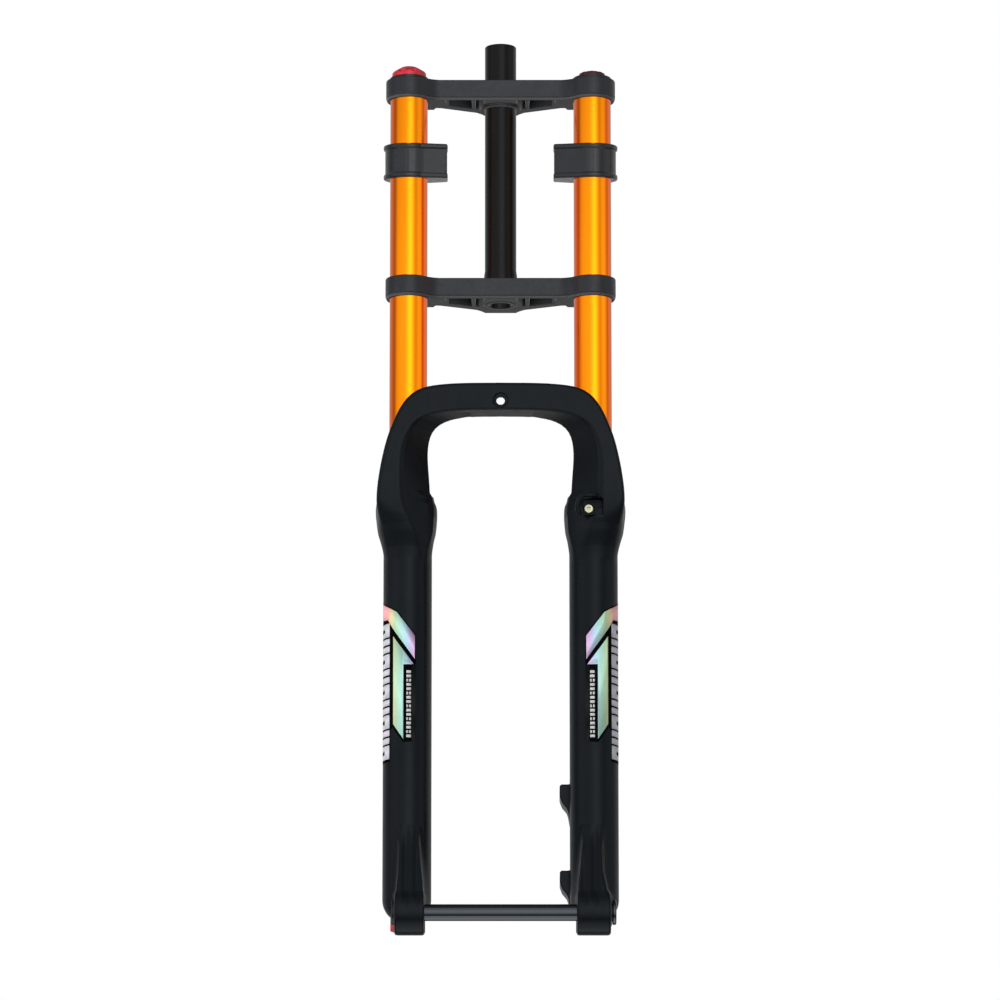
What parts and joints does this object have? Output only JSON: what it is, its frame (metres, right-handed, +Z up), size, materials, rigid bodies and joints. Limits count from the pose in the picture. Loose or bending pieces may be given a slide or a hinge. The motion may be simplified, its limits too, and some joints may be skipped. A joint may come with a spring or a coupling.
{
  "type": "bicycle suspension fork",
  "caption": "Double-crown air fork: two stanchions clamped by crowns on a steerer, sliding in a cast lower with arch, brake posts and thru-axle.",
  "frame": {"origin": "at floor level under the dropouts, in the middle of the footprint; the stanchion plane is 0.75 mm behind it", "axes": "+Z up along the steerer, -Y forwards, +X to the rider's left"},
  "size_m": [0.2226, 0.0935, 0.832],
  "materials": {
    "satin_black": "satin black paint over a cast light alloy",
    "crown_grey": "satin charcoal anodised aluminium",
    "steerer_black": "satin black anodised aluminium",
    "gold_anodised": "polished orange-gold anodising",
    "red_anodised": "satin red anodising",
    "gloss_black": "gloss black",
    "black_rubber": "soft matt rubber",
    "bumper_grey": "dark grey moulded rubber",
    "steel": "ground steel",
    "black_steel": "black oxide steel",
    "plain_aluminium": "machined aluminium",
    "brass": "turned brass",
    "foam": "open-cell oil foam",
    "bushing_lining": "low-friction bushing lining",
    "red_rubber": "nitrile ring"
  },
  "bodies": {
    "crown_assembly": {"steerer_tube": "steerer_black", "lower_crown": "crown_grey", "upper_crown": "crown_grey", "steerer_pinch_bolt": "black_steel", "lower_clamp_bolt_air": "black_steel", "lower_clamp_bolt_damper": "black_steel", "upper_clamp_bolt_air": "black_steel", "upper_clamp_bolt_damper": "black_steel", "stanchion_damper": "gold_anodised", "stanchion_air": "gold_anodised", "frame_bumper_damper": "bumper_grey", "frame_bumper_air": "bumper_grey", "damper_top_cap": "plain_aluminium", "air_top_cap": "black_steel", "damper_cap_ring": "red_rubber", "air_cap_ring": "red_rubber", "compression_damper": "plain_aluminium", "valve_core": "brass", "damper_seal_head": "plain_aluminium", "air_seal_head": "plain_aluminium", "damper_rod_seal": "black_rubber", "air_rod_seal": "black_rubber"},
    "lockout": {"lockout_knob": "red_anodised", "lockout_rod": "steel"},
    "valve_cap": {"air_valve_cap": "red_anodised", "air_valve_cap_insert": "satin_black"},
    "valve_pin": {"valve_pin": "steel"},
    "lower_assembly": {"lowers": "satin_black", "wiper_seal_damper": "black_rubber", "wiper_seal_air": "black_rubber", "foam_ring_damper": "foam", "foam_ring_air": "foam", "upper_bushing_damper": "bushing_lining", "upper_bushing_air": "bushing_lining", "lower_bushing_damper": "bushing_lining", "lower_bushing_air": "bushing_lining", "damper_rod": "steel", "rebound_piston": "plain_aluminium", "rebound_piston_ring": "bushing_lining", "top_out_bumper": "black_rubber", "damper_foot_nut": "black_steel", "air_shaft": "steel", "air_piston": "plain_aluminium", "air_piston_seal": "black_rubber", "negative_spring": "steel", "bottom_out_bumper": "black_rubber", "air_foot_bolt": "black_steel", "air_crush_washer": "plain_aluminium", "axle_nut": "black_steel", "hose_guide": "satin_black", "hose_guide_screw": "steel"},
    "rebound_adjuster": {"rebound_knob": "red_anodised", "rebound_needle": "steel"},
    "axle_washer": {"axle_washer": "black_steel"},
    "thru_axle": {"thru_axle": "gloss_black"}
  },
  "joints": [
    {"name": "fork_travel", "type": "slide", "parent": "crown_assembly", "child": "lower_assembly", "axis": [0, 0, 1], "range_m": [0, 0.19]},
    {"name": "lockout_turn", "type": "hinge", "parent": "crown_assembly", "child": "lockout", "pos_m": [-0.0835, 0.00075, 0.8], "axis": [0, 0, 1], "range_deg": [0, 90]},
    {"name": "valve_cap_lift", "type": "slide", "parent": "crown_assembly", "child": "valve_cap", "axis": [0, 0, 1], "range_m": [0, 0.03]},
    {"name": "valve_pin_press", "type": "slide", "parent": "crown_assembly", "child": "valve_pin", "axis": [0, 0, -1], "range_m": [0, 0.0015]},
    {"name": "rebound_turn", "type": "hinge", "parent": "lower_assembly", "child": "rebound_adjuster", "pos_m": [-0.0835, 0.00075, 0.01], "axis": [0, 0, 1], "range_deg": [-180, 180]},
    {"name": "axle_withdraw", "type": "slide", "parent": "lower_assembly", "child": "axle_washer", "axis": [1, 0, 0], "range_m": [0, 0.2]},
    {"name": "axle_turn", "type": "hinge", "parent": "axle_washer", "child": "thru_axle", "pos_m": [0, -0.02725, 0.0195], "axis": [1, 0, 0], "continuous": true}
  ]
}
